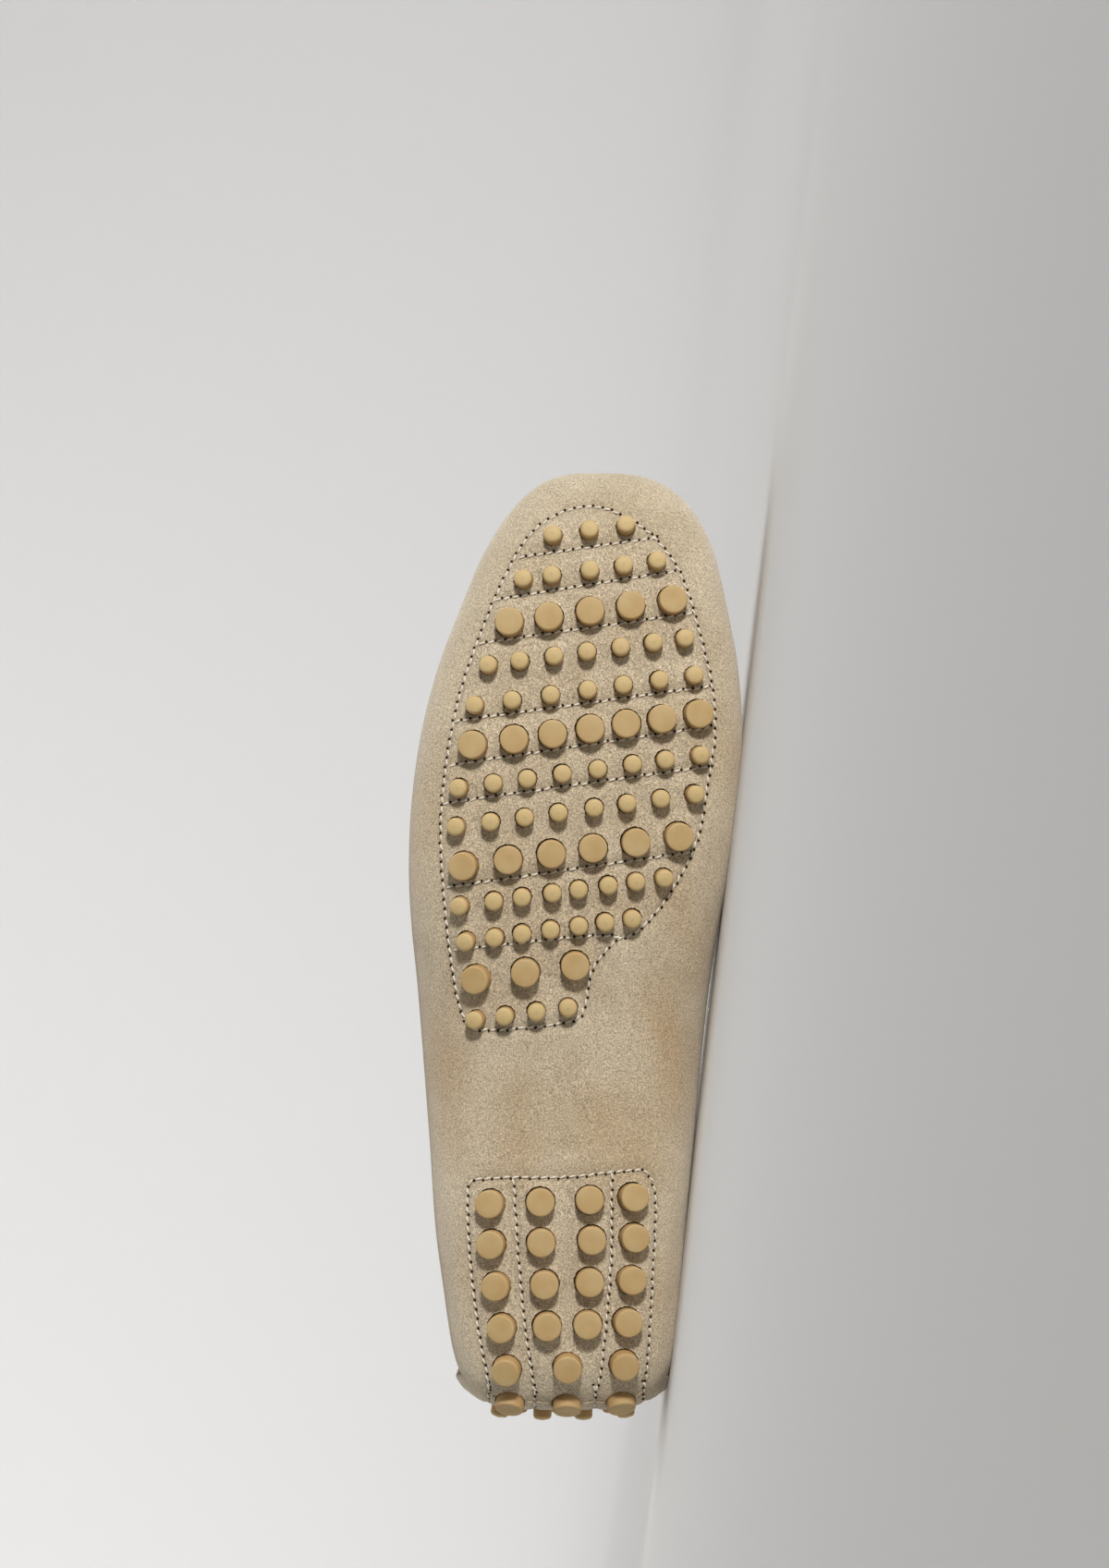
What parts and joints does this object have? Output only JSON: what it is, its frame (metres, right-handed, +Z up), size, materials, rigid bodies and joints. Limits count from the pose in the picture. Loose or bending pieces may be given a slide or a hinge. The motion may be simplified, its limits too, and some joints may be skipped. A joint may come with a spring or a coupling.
{
  "type": "driving moccasin",
  "caption": "Low slip-on suede driving moccasin for the right foot, its upper wrapped under the foot, with rubber studs set through stitched holes in the sole and up the heel.",
  "frame": {"origin": "on the floor under the middle of the shoe's box, as the shoe lies on its inner side", "axes": "+X from heel to toe, -Y out of the sole, +Z up from the inner side to the outer side"},
  "size_m": [0.2942, 0.0712, 0.099],
  "materials": {
    "suede": "matt napped suede",
    "gum_rubber": "satin",
    "sock_leather": "smooth satin"
  },
  "bodies": {
    "root": {"upper": "suede", "forefoot_tread": "gum_rubber", "heel_tread": "gum_rubber", "insole": "sock_leather"}
  },
  "joints": []
}
